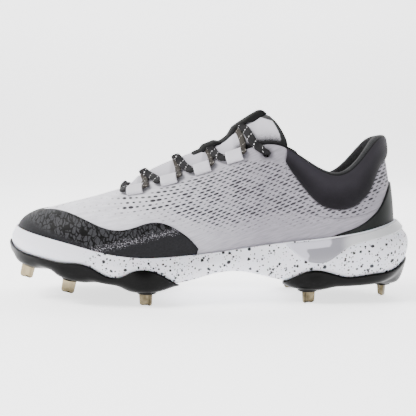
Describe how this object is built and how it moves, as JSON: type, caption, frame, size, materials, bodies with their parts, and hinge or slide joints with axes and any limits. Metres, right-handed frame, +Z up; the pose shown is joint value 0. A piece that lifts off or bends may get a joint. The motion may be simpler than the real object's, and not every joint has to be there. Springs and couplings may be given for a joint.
{
  "type": "baseball cleat",
  "caption": "Low left baseball cleat with a knit mesh upper, padded collar, speckled foam midsole and hard plates that carry steel blade spikes.",
  "frame": {"origin": "on the floor under the centre of the bounding box, at the height of the lowest spike tips", "axes": "-X towards the toe, +X towards the heel, -Y the lateral side, +Y the medial side, +Z up"},
  "size_m": [0.3033, 0.1071, 0.1407],
  "materials": {
    "foam": "moulded foam with fine dark speckles",
    "plate": "glossy moulded nylon",
    "spike_steel": "pale satin steel",
    "clip": "satin translucent grey",
    "mesh": "engineered mesh with slanted slits",
    "collar_knit": "smooth padded knit",
    "toe_film": "satin film with a crackle grain",
    "counter": "matte synthetic",
    "lining": "soft textile",
    "tongue_knit": "soft padded knit",
    "tongue_strip": "padded textile",
    "webbing": "flat woven webbing",
    "lace": "flat woven cord with pale flecks"
  },
  "bodies": {
    "root": {"midsole": "foam", "outsole_forefoot": "plate", "outsole_heel": "plate", "spike_toe_lateral": "spike_steel", "spike_toe_medial": "spike_steel", "spike_fore_lateral": "spike_steel", "spike_fore_medial": "spike_steel", "spike_ball_lateral": "spike_steel", "spike_ball_medial": "spike_steel", "spike_heel_lateral": "spike_steel", "spike_heel_medial": "spike_steel", "spike_heel_back": "spike_steel", "heel_clip": "clip", "upper": "mesh", "collar": "collar_knit", "toe_cap": "toe_film", "heel_counter": "counter", "insole": "lining", "tongue": "tongue_knit", "tongue_panel": "tongue_strip", "lace_loop_lateral_1": "webbing", "lace_loop_lateral_2": "webbing", "lace_loop_lateral_3": "webbing", "lace_loop_lateral_4": "webbing", "lace_loop_medial_1": "webbing", "lace_loop_medial_2": "webbing", "lace_loop_medial_3": "webbing", "lace_loop_medial_4": "webbing", "lace_bar": "lace", "lace_crossing_1": "lace", "lace_crossing_2": "lace", "lace_crossing_3": "lace", "lace_crossing_4": "lace"}
  },
  "joints": []
}
